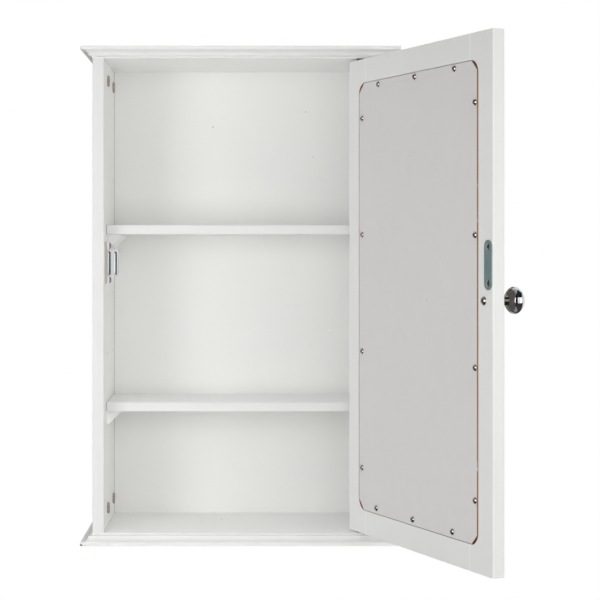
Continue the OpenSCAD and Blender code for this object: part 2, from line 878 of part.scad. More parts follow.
// Half-section of the knob: a foot, a neck, a flared back, a rim and a dome
module knob_section() {
    back_h = knob_rim_h - knob_band_h - knob_neck_h;
    dome_r = cap_sphere_r(knob_r, knob_dome_h);
    square([knob_base_r, knob_base_h]);
    square([knob_neck_r, knob_neck_h]);
    polygon(concat([[0, knob_neck_h]],
        [for (i = [0 : knob_flare_steps]) let (t = i / knob_flare_steps)
            [knob_neck_r + (knob_r - knob_neck_r) * sin(90 * t), knob_neck_h + back_h * t]],
        [[0, knob_neck_h + back_h]]));
    translate([0, knob_rim_h - knob_band_h]) square([knob_r, knob_band_h]);
    intersection() {
        translate([0, knob_rim_h + knob_dome_h - dome_r]) circle(dome_r);
        translate([0, knob_rim_h]) square([knob_r, knob_dome_h]);
    }
}

module knob() {
    color(chrome) on_door() translate([knob_x, front_y, knob_z]) rotate([90, 0, 0]) difference() {
        rotate_extrude() knob_section();
        translate([0, 0, -over]) cylinder(r = knob_thread_r + fit, h = knob_thread_l + knob_play + over);
    }
}

module knob_screw() {
    color(steel) on_door() translate([knob_x, door_inner_y, knob_z]) rotate([-90, 0, 0])
        pan_screw(knob_screw_head_r, knob_screw_head_h, knob_thread_r, door_t + knob_thread_l,
            knob_recess_l);
}

top_board();
bottom_board();
side_panel_left();
side_panel_right();
back_panel();
shelf_upper();
shelf_lower();
shelf_pegs_upper();
shelf_pegs_lower();
cam_locks();
cam_bolts();
panel_dowels();
hanger_plate_left();
hanger_plate_right();
hanger_screws();
catch_shim();
catch_housing();
catch_magnet();
catch_pole_plates();
catch_screws();
pivot_bush_top();
pivot_bush_bottom();
pivot_pin_top();
pivot_pin_bottom();
door_stile_hinge();
door_stile_free();
door_rail_top();
door_rail_bottom();
door_dowels();
mirror_glass();
mirror_backing();
backing_screws();
strike_plate();
strike_screws();
knob();
knob_screw();
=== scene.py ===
"""Looks of a white painted bathroom cabinet, whose mirror door stands open on its pivot pins."""
import json
import math

import bpy
import numpy as np
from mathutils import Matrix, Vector


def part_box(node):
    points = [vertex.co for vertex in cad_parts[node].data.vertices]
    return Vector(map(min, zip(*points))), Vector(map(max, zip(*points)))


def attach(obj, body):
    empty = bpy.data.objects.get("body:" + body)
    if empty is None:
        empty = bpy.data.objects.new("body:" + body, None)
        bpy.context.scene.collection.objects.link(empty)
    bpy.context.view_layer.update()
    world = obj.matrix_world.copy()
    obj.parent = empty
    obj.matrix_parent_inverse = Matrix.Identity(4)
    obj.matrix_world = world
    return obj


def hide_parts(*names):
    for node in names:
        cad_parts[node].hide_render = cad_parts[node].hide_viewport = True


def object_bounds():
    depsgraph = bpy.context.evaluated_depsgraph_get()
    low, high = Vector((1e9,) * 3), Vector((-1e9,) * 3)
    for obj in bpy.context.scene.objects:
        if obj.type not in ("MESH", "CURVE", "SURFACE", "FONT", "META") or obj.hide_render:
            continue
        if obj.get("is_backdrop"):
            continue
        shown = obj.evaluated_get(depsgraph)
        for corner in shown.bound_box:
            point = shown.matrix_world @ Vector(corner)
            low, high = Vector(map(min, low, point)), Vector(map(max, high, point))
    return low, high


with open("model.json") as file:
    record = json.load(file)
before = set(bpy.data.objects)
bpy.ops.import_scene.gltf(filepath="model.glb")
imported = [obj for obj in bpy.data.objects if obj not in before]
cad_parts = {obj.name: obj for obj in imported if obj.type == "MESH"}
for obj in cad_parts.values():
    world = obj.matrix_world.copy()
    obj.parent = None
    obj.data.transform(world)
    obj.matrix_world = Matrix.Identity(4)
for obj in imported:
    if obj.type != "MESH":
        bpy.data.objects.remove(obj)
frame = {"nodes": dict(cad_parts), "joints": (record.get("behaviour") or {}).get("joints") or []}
cad_low, cad_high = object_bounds()

# Camera
# A long lens straight in front of the cabinet, a little above its middle. The frame is
# shifted in place of a tilt, so the uprights stay upright.
FRAME_PX = 600
SENSOR_MM = 36
FOCAL_PX = 1586.3
PRINCIPAL_PX = (250.8, 252.3)
CAMERA_AT = (0.0108, -1.8311, -0.1789)

camera_data = bpy.data.cameras.new("camera")
camera_data.sensor_width = SENSOR_MM
camera_data.lens = SENSOR_MM * FOCAL_PX / FRAME_PX
camera_data.shift_x = 0.5 - PRINCIPAL_PX[0] / FRAME_PX
camera_data.shift_y = PRINCIPAL_PX[1] / FRAME_PX - 0.5
camera = bpy.data.objects.new("camera", camera_data)
camera.location = CAMERA_AT
camera.rotation_euler = (math.radians(90), 0, 0)
bpy.context.scene.collection.objects.link(camera)
bpy.context.scene.camera = camera
bpy.context.scene.view_settings.view_transform = "Standard"

# Studio lights
# Three softboxes, one behind the camera and one at each side, in a surround that glows in
# front and overhead. Lens and gloss see the surround as plain white.


def linear(hex_colour):
    """sRGB hex as linear RGBA: c / 12.92 up to 0.04045, ((c + 0.055) / 1.055) ** 2.4 above it."""
    c = np.array([int(hex_colour[i:i + 2], 16) for i in (0, 2, 4)]) / 255
    return (*np.where(c <= 0.04045, c / 12.92, ((c + 0.055) / 1.055) ** 2.4), 1.0)


def add_node(tree, kind, links=None, values=None, **settings):
    """Adds a node. Settings are its own properties, values go to its inputs by name or number,
    and links joins its inputs to other nodes, by their first live output, or to given output
    sockets. A Mix node takes its share as 0, numbers as 2 and 3 and colours as 6 and 7. A Map
    Range node takes its value as 0, and turns the span from 1 to 2 into the span from 3 to 4."""
    node = tree.nodes.new(kind)
    for name, setting in settings.items():
        setattr(node, name, setting)
    for key, value in (values or {}).items():
        node.inputs[key].default_value = value
    for key, source in (links or {}).items():
        if isinstance(source, bpy.types.Node):
            source = next(socket for socket in source.outputs if socket.enabled)
        tree.links.new(source, node.inputs[key])
    return node


WORLD_FRONT = 0.36
WORLD_TOP = 1.36
world = bpy.data.worlds.new("surround")
world.use_nodes = True
bpy.context.scene.world = world
tree = world.node_tree
tree.nodes.clear()
rays = add_node(tree, "ShaderNodeLightPath")
mirrored = add_node(tree, "ShaderNodeMath", {
    0: rays.outputs["Is Glossy Ray"], 1: rays.outputs["Is Transmission Ray"]}, operation="MAXIMUM")
seen = add_node(tree, "ShaderNodeMath", {
    0: mirrored, 1: rays.outputs["Is Camera Ray"]}, operation="MAXIMUM")
# Each heading glows by the square of its forward part and by that of its upward part
heading = add_node(tree, "ShaderNodeSeparateXYZ", {
    0: add_node(tree, "ShaderNodeTexCoord").outputs["Generated"]})
forward = add_node(tree, "ShaderNodeMath", {0: heading.outputs["Y"]}, {1: 0}, operation="MINIMUM")
forward = add_node(tree, "ShaderNodeMath", {0: forward, 1: forward}, operation="MULTIPLY")
upward = add_node(tree, "ShaderNodeMath", {0: heading.outputs["Z"]}, {1: 0}, operation="MAXIMUM")
upward = add_node(tree, "ShaderNodeMath", {0: upward, 1: upward}, operation="MULTIPLY")
glow = add_node(tree, "ShaderNodeMath", {0: upward}, {1: WORLD_TOP}, operation="MULTIPLY")
glow = add_node(tree, "ShaderNodeMath", {0: forward, 2: glow}, {1: WORLD_FRONT},
                operation="MULTIPLY_ADD")
level = add_node(tree, "ShaderNodeMix", {0: seen, 2: glow}, {3: 1})
surround = add_node(tree, "ShaderNodeBackground", {"Strength": level}, {"Color": linear("ffffff")})
add_node(tree, "ShaderNodeOutputWorld", {"Surface": surround})

# Place, width, height, watts, and whether gloss shows it
SOFTBOXES = {
    "softbox_middle": ((0.0, -2.0, -0.2), 1.2, 1.2, 4.3, False),
    "softbox_left": ((-0.7, -1.1, -0.2), 0.4, 0.6, 3.8, True),
    "softbox_right": ((0.7, -1.1, -0.2), 0.4, 0.6, 3.3, True),
}
LIT_POINT = Vector((0.0, -0.1, -0.22))
for name, (at, width, height, watts, in_gloss) in SOFTBOXES.items():
    softbox_data = bpy.data.lights.new(name, "AREA")
    softbox_data.shape = "RECTANGLE"
    softbox_data.size, softbox_data.size_y, softbox_data.energy = width, height, watts
    softbox = bpy.data.objects.new(name, softbox_data)
    softbox.location = at
    softbox.rotation_euler = (LIT_POINT - Vector(at)).to_track_quat("-Z", "Y").to_euler()
    softbox.visible_camera = False
    softbox.visible_glossy = in_gloss
    bpy.context.scene.collection.objects.link(softbox)

# Floor and reflectors
# Pale matt paper well below the cabinet, and cloths and papers round the studio that only
# gloss sees. Chrome and nickel need dark parts round their lights.
MM = 0.001
# Nearly all values of a noise lie between these
NOISE_LOW, NOISE_HIGH = 0.3, 0.7


def new_material(name):
    """Material with an empty tree, and the Object coordinates in it."""
    material = bpy.data.materials.new(name)
    material.use_nodes = True
    tree = material.node_tree
    tree.nodes.clear()
    return material, tree, add_node(tree, "ShaderNodeTexCoord").outputs["Object"]


def shaded(tree, place, tone, size_mm, low, high):
    """Tone times a noise that runs from low to high, in blots of about the size. The tone is a
    hex colour or a node."""
    noise = add_node(tree, "ShaderNodeTexNoise", {"Vector": place}, {
        "Scale": 1 / (size_mm * MM), "Detail": 4.0})
    level = add_node(tree, "ShaderNodeMapRange", {0: noise}, {
        1: NOISE_LOW, 2: NOISE_HIGH, 3: low, 4: high})
    if isinstance(tone, str):
        return add_node(tree, "ShaderNodeVectorMath", {"Scale": level}, {0: linear(tone)[:3]},
                        operation="SCALE")
    return add_node(tree, "ShaderNodeVectorMath", {"Scale": level, 0: tone}, operation="SCALE")


def staged_sheet(name, corners, material):
    """Flat sheet through four corners, which belongs to the studio."""
    mesh = bpy.data.meshes.new(name)
    mesh.from_pydata(corners, [], [(0, 1, 2, 3)])
    mesh.materials.append(material)
    sheet = bpy.data.objects.new(name, mesh)
    bpy.context.scene.collection.objects.link(sheet)
    sheet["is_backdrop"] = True
    return sheet


FLOOR_Z = -1.3
FLOOR_REACH = 2.5
# Pale paper without any sheen, which takes the object's soft shadow
floor_paper, tree, place = new_material("pale paper floor")
paper = add_node(tree, "ShaderNodeBsdfPrincipled", values={
    "Base Color": linear("f2f2f0"), "Roughness": 0.9})
add_node(tree, "ShaderNodeOutputMaterial", {"Surface": paper})
staged_sheet("floor", [(x * FLOOR_REACH, y * FLOOR_REACH, FLOOR_Z) for x, y in (
    (-1, -1), (1, -1), (1, 1), (-1, 1))], floor_paper)

GREY_CLOTH, BLACK_CLOTH, WHITE_PAPER = "4a4948", "171615", "ffffff"
BLOTCH_MM, BLOTCH = 400, (0.9, 1.0)
FADE_FOOT, FADE_TOP = -1.2, 0.8
# Colour, glow and corners. The papers' glow falls to half of it at their foot.
REFLECTORS = {
    "flag_above": (GREY_CLOTH, 0, [
        (-3, -2.6, 0.75), (3, -2.6, 0.75), (3, -0.2, 2.2), (-3, -0.2, 2.2)]),
    "flag_below": (GREY_CLOTH, 0, [
        (-3, -2.6, -1.15), (3, -2.6, -1.15), (3, 0.6, -1.25), (-3, 0.6, -1.25)]),
    "flag_left": (BLACK_CLOTH, 0, [
        (-1.6, -1.8, -1.2), (-1.6, -1.8, 1.4), (-1.6, -1.3, 1.4), (-1.6, -1.3, -1.2)]),
    "flag_left_rear": (BLACK_CLOTH, 0, [
        (-1.6, -0.7, -1.2), (-1.6, -0.7, 1.4), (-1.8, 1.6, 1.4), (-1.8, 1.6, -1.2)]),
    "flag_behind": (BLACK_CLOTH, 0, [
        (-1.8, 1.6, -1.2), (-1.8, 1.6, 1.8), (0.3, 1.6, 1.8), (0.3, 1.6, -1.2)]),
    "paper_left": (WHITE_PAPER, 4, [
        (-1.6, -2.5, -1.15), (-1.6, -2.5, 0.75), (-1.6, -1.8, 0.75), (-1.6, -1.8, -1.15)]),
    "flag_front_left": (BLACK_CLOTH, 0, [
        (-1.6, -2.6, -1.2), (-0.8, -2.6, -1.2), (-0.8, -2.6, 0.8), (-1.6, -2.6, 0.8)]),
    "paper_front": (WHITE_PAPER, 1, [
        (-0.8, -2.6, -1.2), (1.4, -2.6, -1.2), (1.4, -2.6, 0.8), (-0.8, -2.6, 0.8)]),
}
for name, (colour, glow, corners) in REFLECTORS.items():
    # Matt and a little uneven, so that metal shows a soft dark or a soft light
    sheet_material, tree, place = new_material("lit paper" if glow else "dark cloth")
    tone = shaded(tree, place, colour, BLOTCH_MM, *BLOTCH)
    height = add_node(tree, "ShaderNodeSeparateXYZ", {0: place}).outputs["Z"]
    fade = add_node(tree, "ShaderNodeMapRange", {0: height}, {
        1: FADE_FOOT, 2: FADE_TOP, 3: glow / 2, 4: glow})
    surface = add_node(tree, "ShaderNodeBsdfPrincipled", {
        "Base Color": tone, "Emission Color": tone, "Emission Strength": fade}, {
        "Roughness": 0.9, "Specular IOR Level": 0})
    add_node(tree, "ShaderNodeOutputMaterial", {"Surface": surface})
    sheet = staged_sheet(name, corners, sheet_material)
    sheet.visible_camera = False
    sheet.visible_diffuse = False
    sheet.visible_shadow = False

# Side panels
# Two boards of 12 mm fibreboard, sprayed with satin white lacquer. Their front edges are
# turned a little greyer than the faces, as painted shade on the faces that look forward.
nodes = frame["nodes"]
LACQUER = "f6f6f5"
# Painted shade: the greyer tone that the faces looking forward are turned to
FRONT_SHADE_LACQUER = "e5e5e4"
DRIFT_MM, DRIFT = 80, (0.992, 1.006)
PEBBLE_MM, PEBBLE_DEEP = 1.4, 0.06 * MM
RIDGE_RISE = 1.5
FACING_NONE, FACING_ALL = -0.3, -0.9
INSIDE_W, INSIDE_H = 292 * MM, 506 * MM
SEAM_W, SEAM_RIM = 0.6 * MM, 0.4 * MM
SEAM_GREY = "b8b5af"
middle_z = (cad_low[2] + cad_high[2]) / 2


def lacquer_start(name, colour):
    """Satin lacquer up to its even tone, which drifts by a hundredth or so over a hand's width."""
    material, tree, place = new_material(name)
    return material, tree, place, shaded(tree, place, colour, DRIFT_MM, *DRIFT)


def lacquer_end(tree, place, tone, roughness=0.4, ridge=None):
    """Film of the lacquer over the finished tone: satin, and finely pebbled by the spray gun. A
    ridge from 0 to 1 stands over the pebbles."""
    relief = add_node(tree, "ShaderNodeTexNoise", {"Vector": place}, {
        "Scale": 1 / (PEBBLE_MM * MM), "Detail": 2.0})
    if ridge:
        relief = add_node(tree, "ShaderNodeMath", {0: ridge, 2: relief}, {1: RIDGE_RISE},
                          operation="MULTIPLY_ADD")
    bump = add_node(tree, "ShaderNodeBump", {"Height": relief}, {
        "Strength": 0.3, "Distance": PEBBLE_DEEP})
    film = add_node(tree, "ShaderNodeBsdfPrincipled", {"Base Color": tone, "Normal": bump}, {
        "Roughness": roughness})
    add_node(tree, "ShaderNodeOutputMaterial", {"Surface": film})


def shade_front_faces(tree, tone, colour):
    """Tone turned to the colour on the faces that look forward, as painted shade."""
    facing = add_node(tree, "ShaderNodeSeparateXYZ", {
        0: add_node(tree, "ShaderNodeTexCoord").outputs["Normal"]})
    forward = add_node(tree, "ShaderNodeMapRange", {0: facing.outputs["Y"]}, {
        1: FACING_NONE, 2: FACING_ALL})
    return add_node(tree, "ShaderNodeMix", {0: forward, 6: tone}, {7: linear(colour)},
                    data_type="RGBA")


def from_middle(tree, place):
    """Distances from the middle of the cabinet along X, Y and Z."""
    off = add_node(tree, "ShaderNodeVectorMath", {0: place}, {1: (0, 0, middle_z)},
                   operation="SUBTRACT")
    off = add_node(tree, "ShaderNodeVectorMath", {0: off}, operation="ABSOLUTE")
    return add_node(tree, "ShaderNodeSeparateXYZ", {0: off}).outputs


def seam(tree, tone, away, end):
    """Tone darkened by the shadow in an open joint, over the last bit before away is at the end."""
    line = add_node(tree, "ShaderNodeMapRange", {0: away}, {
        1: end - SEAM_W, 2: end - SEAM_W + SEAM_RIM})
    return add_node(tree, "ShaderNodeMix", {0: line, 6: tone}, {7: linear(SEAM_GREY)},
                    data_type="RGBA")


def finish(material, *names):
    """Puts the material into the slots of CAD nodes."""
    for name in names:
        nodes[name].data.materials.clear()
        nodes[name].data.materials.append(material)


# An even, slightly warm white with a soft broad sheen
board_lacquer, tree, place, tone = lacquer_start("satin white lacquer on fibreboard", LACQUER)
tone = seam(tree, tone, from_middle(tree, place)["Z"], INSIDE_H / 2)
lacquer_end(tree, place, shade_front_faces(tree, tone, FRONT_SHADE_LACQUER))
finish(board_lacquer, "side_panel_left", "side_panel_right")

# Top and bottom boards
# The same board, routed with a fillet, a cove and a bead along the front and both sides. The
# quirk lines between them are darkened with painted shade. One corner is chipped to the brown
# board.
BOARD_T = 12 * MM
# Painted light: a lighter copy of the lacquer, so that the boards' inner faces read brighter
MOULDED_LIGHTENED_LACQUER = "fbfbfa"
# Painted shade on the routed faces that look forward
ROUTED_FRONT_SHADE = "ececeb"
# Painted shade in the quirk lines: millimetres over the board's inner face, and the share of the
# tone that is left there
QUIRK_SHADE = [(1.7, 1.0), (2.4, 0.93), (3.0, 1.0), (4.2, 1.0), (6.8, 0.88), (7.9, 0.85), (8.1, 1.0)]
# Place, radius in millimetres and colour: the chip, and two scuffs on the bottom board
BOARD_MARKS = [((-0.1695, -0.1515, -0.4895), 1.9, "8a5a38"),
               ((-0.0219, -0.0521, -0.478), 1.3, "908d88"),
               ((-0.0446, -0.0653, -0.478), 0.7, "b4b1ac")]
MARK_RIM = 0.3


def mark(tree, place, tone, at, radius, colour):
    """Tone turned to the colour within the radius of a point, with a soft rim."""
    away = add_node(tree, "ShaderNodeVectorMath", {0: place}, {1: at}, operation="DISTANCE")
    inside = add_node(tree, "ShaderNodeMapRange", {0: away}, {
        1: (1 + MARK_RIM) * radius, 2: (1 - MARK_RIM) * radius}, interpolation_type="SMOOTHSTEP")
    return add_node(tree, "ShaderNodeMix", {0: inside, 6: tone}, {7: linear(colour)},
                    data_type="RGBA")


# A lighter copy of the satin white as painted light, greyer where the router's cut faces
# forward as painted shade, and dark in the quirk lines with painted shade
moulded_lacquer, tree, place, tone = lacquer_start(
    "satin white lacquer on routed fibreboard", MOULDED_LIGHTENED_LACQUER)
tone = shade_front_faces(tree, tone, ROUTED_FRONT_SHADE)
across = add_node(tree, "ShaderNodeMapRange", {0: from_middle(tree, place)["Z"]}, {
    1: INSIDE_H / 2, 2: INSIDE_H / 2 + BOARD_T})
quirk_shade_ramp = add_node(tree, "ShaderNodeValToRGB", {0: across})
quirk_shade_ramp.color_ramp.elements.remove(quirk_shade_ramp.color_ramp.elements[1])
quirk_shade_ramp.color_ramp.elements[0].color = (1, 1, 1, 1)
for at_mm, level in QUIRK_SHADE:
    quirk_shade_ramp.color_ramp.elements.new(at_mm * MM / BOARD_T).color = (level, level, level, 1)
tone = add_node(tree, "ShaderNodeVectorMath", {0: tone, 1: quirk_shade_ramp}, operation="MULTIPLY")
for at, radius_mm, colour in BOARD_MARKS:
    tone = mark(tree, place, tone, at, radius_mm * MM, colour)
lacquer_end(tree, place, tone)
finish(moulded_lacquer, "top_board", "bottom_board")

# Back panel
# Thin hardboard with a white foil, slid into grooves all round. The foil carries a fine
# canvas grain and the few rubbed specks of an old cabinet.
FOIL = "f4f4f2"
GRAIN_MM, GRAIN = 1.6, (0.99, 1.006)
SPECKS = [((-0.0326, -0.009, -0.0350), 0.9, "cbc9c5"), ((0.0742, -0.009, -0.0177), 0.8, "d2d0cc"),
          ((0.0823, -0.009, -0.0694), 0.7, "d2d0cc"), ((0.1006, -0.009, -0.2682), 1.4, "fafaf8")]
# Duller than the lacquer, with a grain so faint that it only breaks up the white
foil, tree, place, tone = lacquer_start("white foil on hardboard", FOIL)
tone = shaded(tree, place, tone, GRAIN_MM, *GRAIN)
tone = seam(tree, tone, from_middle(tree, place)["X"], INSIDE_W / 2)
for at, radius_mm, colour in SPECKS:
    tone = mark(tree, place, tone, at, radius_mm * MM, colour)
lacquer_end(tree, place, tone, 0.5)
finish(foil, "back_panel")

# Dowels, cam locks and bolts
# Beech dowels line up the panels. A steel bolt in each board is drawn into a cam of dull cast
# zinc in the side panel, whose head stands a little proud.
WOOD_DEEP = 0.1 * MM
METAL_DEEP = 0.05 * MM


def wood(name, dark, light, fibre_mm, squeeze, roughness, relief):
    """Wood with upright grain: a noise of the fibres' width, squeezed along Z, whose tone runs
    from dark to light and which is raised by the relief, from 0 for none to 1."""
    material, tree, place = new_material(name)
    upright = add_node(tree, "ShaderNodeMapping", {"Vector": place}, {"Scale": (1, 1, squeeze)})
    fibres = add_node(tree, "ShaderNodeTexNoise", {"Vector": upright}, {
        "Scale": 1 / (fibre_mm * MM), "Detail": 4.0})
    tone = add_node(tree, "ShaderNodeValToRGB", {0: fibres})
    tone.color_ramp.elements[0].color = linear(dark)
    tone.color_ramp.elements[1].color = linear(light)
    bump = add_node(tree, "ShaderNodeBump", {"Height": fibres}, {
        "Strength": relief, "Distance": WOOD_DEEP})
    cut_wood = add_node(tree, "ShaderNodeBsdfPrincipled", {"Base Color": tone, "Normal": bump}, {
        "Roughness": roughness})
    add_node(tree, "ShaderNodeOutputMaterial", {"Surface": cut_wood})
    return material


def metal(name, dark, light, roughness, grain_mm, unevenness=0.08, metallic=1.0):
    """Metal whose tone runs from dark to light and whose roughness varies with the same noise,
    as plating, casting skin or drawing marks leave it."""
    material, tree, place = new_material(name)
    grain = add_node(tree, "ShaderNodeTexNoise", {"Vector": place}, {
        "Scale": 1 / (grain_mm * MM), "Detail": 4.0})
    tone = add_node(tree, "ShaderNodeValToRGB", {0: grain})
    for end, position, colour in ((0, NOISE_LOW, dark), (1, NOISE_HIGH, light)):
        tone.color_ramp.elements[end].position = position
        tone.color_ramp.elements[end].color = linear(colour)
    rough = add_node(tree, "ShaderNodeMapRange", {0: grain}, {
        1: NOISE_LOW, 2: NOISE_HIGH, 3: roughness - unevenness / 2, 4: roughness + unevenness / 2})
    bump = add_node(tree, "ShaderNodeBump", {"Height": grain}, {
        "Strength": 0.2, "Distance": METAL_DEEP})
    skin = add_node(tree, "ShaderNodeBsdfPrincipled", {
        "Base Color": tone, "Roughness": rough, "Normal": bump}, {"Metallic": metallic})
    add_node(tree, "ShaderNodeOutputMaterial", {"Surface": skin})
    return material


# Warm brown with fine upright fibres
turned_beech = wood("turned beech", "b98f62", "d8b68a", 0.833, 0.08, 0.6, 0.3)
finish(turned_beech, "panel_dowels", "door_dowels")
# Grey without any gleam, blotched by the skin of the casting
cast_zinc, tree, place = new_material("dull zinc die casting")
dull = add_node(tree, "ShaderNodeBsdfDiffuse", {
    "Color": shaded(tree, place, "aba396", 1.8, 0.7, 1.2)})
add_node(tree, "ShaderNodeOutputMaterial", {"Surface": dull})
finish(cast_zinc, "cam_locks")
# Mid grey with a blurred gleam
drawn_steel = metal("drawn steel", "8d8b88", "a9a7a3", 0.32, 0.8)
finish(drawn_steel, "cam_bolts", "pivot_pin_top", "pivot_pin_bottom")

# Pivot bushes
# Moulded brown nylon bushes in the boards. A steel pin pressed into each end of the door's
# hinge stile turns in them.
MOULD_TONE = (0.97, 1.02)
SPARK_MM, SPARK_DEEP = 0.5, 0.04 * MM
PATCH_RIM = 0.2 * MM


def inside_all(tree, limits):
    """Product of smooth steps, one for each value with its levels of zero and of one."""
    product = None
    for value, zero, one in limits:
        step = add_node(tree, "ShaderNodeMapRange", {0: value}, {1: zero, 2: one},
                        interpolation_type="SMOOTHSTEP")
        if product:
            step = add_node(tree, "ShaderNodeMath", {0: product, 1: step}, operation="MULTIPLY")
        product = step
    return product


def moulded_plastic(name, colour, roughness=0.42, patches=()):
    """Injection moulded plastic, with the faint spark-eroded texture of its mould. Each patch is
    the low and the high corner of a box and the colour painted inside it, which may be a colour
    of the plastic itself and may be painted shadow."""
    material, tree, place = new_material(name)
    tone = shaded(tree, place, colour, SPARK_MM, *MOULD_TONE)
    for patch_low, patch_high, patch_colour in patches:
        axes = add_node(tree, "ShaderNodeSeparateXYZ", {0: place}).outputs
        inside = inside_all(tree, [
            (axis, end, end + rim) for axis, low, high in zip(axes, patch_low, patch_high)
            for end, rim in ((low, PATCH_RIM), (high, -PATCH_RIM))])
        tone = add_node(tree, "ShaderNodeMix", {0: inside, 6: tone}, {7: linear(patch_colour)},
                        data_type="RGBA")
    sparks = add_node(tree, "ShaderNodeTexNoise", {"Vector": place}, {
        "Scale": 1 / (SPARK_MM * MM), "Detail": 3.0})
    bump = add_node(tree, "ShaderNodeBump", {"Height": sparks}, {
        "Strength": 0.25, "Distance": SPARK_DEEP})
    resin = add_node(tree, "ShaderNodeBsdfPrincipled", {"Base Color": tone, "Normal": bump}, {
        "Roughness": roughness})
    add_node(tree, "ShaderNodeOutputMaterial", {"Surface": resin})
    return material


# Nearly black brown with a faint plastic sheen
brown_nylon = moulded_plastic("brown moulded nylon", "3a2a20")
finish(brown_nylon, "pivot_bush_top", "pivot_bush_bottom")

# Shelves
# Two 10 mm boards of the same lacquered fibreboard, laid loose on their pegs. They lift
# off, and can go to other rows of holes.
finish(board_lacquer, "shelf_upper", "shelf_lower")

# Shelf pegs
# Moulded white pegs, four under each shelf. Each is a small angle with a web, whose pin is
# pushed into a hole of the side panel.
PEG_ROUGHNESS = 0.36
# Clean white that shines a little more than the lacquer
white_nylon = moulded_plastic("white moulded nylon", "fbfbfa", PEG_ROUGHNESS)
finish(white_nylon, "shelf_pegs_upper", "shelf_pegs_lower")

# Hanger plates
# Zinc plated keyhole plates let into the rear edges of the side panels, each held by two
# countersunk screws. The cabinet hangs on two wall screws in their slots.
SPANGLE_MM = 3.0
# Pale blue grey, whose gleam clouds from spangle to spangle
zinc_plate = metal("bright zinc plate", "a7abad", "c6cacb", 0.3, SPANGLE_MM)
finish(zinc_plate, "hanger_plate_left", "hanger_plate_right", "hanger_screws")

# Magnetic catch
# A pale plastic housing on a thin wooden shim, screwed to the left side panel through its
# two ears. Two steel plates lead the pull of a ferrite magnet to the door.
WELD_MM = 1e-4
PAN_SCREW = {"head_r": 3.3, "head_h": 1.9, "shank_r": 1.45, "shank_l": 9, "recess_l": 3.4}
RECESS_W, RECESS_DEEP, RECESS_SLOPE = 0.9, 1.0, 0.12
HEAD_RINGS, HEAD_SPOKES, HEAD_CORE = 30, 72, 0.6
CATCH_H, SLOTS_H, SLOTS_W = 29 * MM, 25.2 * MM, 10.5 * MM
EAR_PITCH, EAR_T = 37 * MM, 2 * MM
EAR_TURNS = {-1: -20, 1: 60}


def shell(name, grids, material, body, crease_deg=40):
    """Joins grids of points, in metres, into one closed shell. Each cell of a grid is a face.
    Points that round to the same ten-thousandth of a millimetre are one, and a cell that loses a
    corner is a triangle. If the volume, a sixth of the sum of a . (b x c), is negative, the faces
    are turned over."""
    points, cells, start = [], [], 0
    for grid in grids:
        index = start + np.arange(grid.shape[0] * grid.shape[1]).reshape(grid.shape[:2])
        corners = [index[:-1, :-1], index[:-1, 1:], index[1:, 1:], index[1:, :-1]]
        cells.append(np.stack(corners, -1).reshape(-1, 4))
        points.append(grid.reshape(-1, 3))
        start += index.size
    points, cells = np.concatenate(points), np.concatenate(cells)
    keys = np.round(points / (WELD_MM * MM)).astype(np.int64)
    first, same = np.unique(keys, axis=0, return_index=True, return_inverse=True)[1:]
    points, cells = points[first], same.reshape(-1)[cells]
    doubled = cells == np.roll(cells, -1, axis=1)
    quads = cells[doubled.sum(1) == 0]
    cut = doubled.sum(1) == 1
    triangles = cells[cut][~doubled[cut]].reshape(-1, 3)
    fans = np.concatenate([triangles, quads[:, :3], quads[:, [0, 2, 3]]])
    a, b, c = points[fans].swapaxes(0, 1)
    volume = (a * np.cross(b, c)).sum() / 6
    if volume < 0:
        quads, triangles = quads[:, ::-1], triangles[:, ::-1]
    mesh = bpy.data.meshes.new(name)
    mesh.from_pydata(points, [], quads.tolist() + triangles.tolist())
    mesh.polygons.foreach_set("use_smooth", np.ones(len(mesh.polygons), bool))
    mesh.set_sharp_from_angle(angle=math.radians(crease_deg))
    mesh.materials.append(material)
    piece = bpy.data.objects.new(name, mesh)
    bpy.context.scene.collection.objects.link(piece)
    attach(piece, body)
    return piece


def cross_head_screw(seat, across, out, turn_deg, head_r, head_h, shank_r, shank_l, recess_l,
                     fullness=0.6):
    """Grid of a screw from the middle of its head to the tip, in metres. The head's height over
    the seat is head_h * (1 - (r / head_r) ** 2.4) ** fullness, less the depth of a cross whose two
    arms slope off over RECESS_SLOPE. Then come the head's underside and the shank.
    Across and out are unit vectors along the head's face and out of it. Sizes are in mm."""
    core = np.linspace(0, HEAD_CORE * head_r, HEAD_RINGS * 2 // 3)
    closing_up = np.sin(np.linspace(0, np.pi / 2, HEAD_RINGS // 3 + 1)[1:])
    rim = head_r * (HEAD_CORE + (1 - HEAD_CORE) * closing_up)
    r = np.concatenate([core, rim])[:, None]
    angle = np.linspace(0, 2 * np.pi, HEAD_SPOKES + 1)[None, :]
    u, v = np.abs(r * np.cos(angle)), np.abs(r * np.sin(angle))
    reach = np.clip((recess_l / 2 - np.maximum(u, v)) / RECESS_SLOPE, 0, 1)
    width = np.clip((RECESS_W / 2 - np.minimum(u, v)) / RECESS_SLOPE, 0, 1)
    dome = head_h * np.clip(1 - (r / head_r) ** 2.4, 0, 1) ** fullness
    height = dome - RECESS_DEEP * reach * width
    below = np.array([(shank_r, 0.0), (shank_r, -shank_l), (0.0, -shank_l)])
    r = np.concatenate([r, below[:, :1]])
    height = np.concatenate([height, np.repeat(below[:, 1:], HEAD_SPOKES + 1, axis=1)])
    spin = angle + math.radians(turn_deg)
    sideways = (r * np.cos(spin))[..., None] * across
    upwards = (r * np.sin(spin))[..., None] * np.cross(out, across)
    return np.asarray(seat) + MM * (sideways + upwards + height[..., None] * out)


# Pale and matt, with planed fibres too fine to stand up
planed_pine = wood("pale planed pine", "bdb6ad", "c9c3ba", 1.11, 0.1, 0.7, 0.0)
finish(planed_pine, "catch_shim")
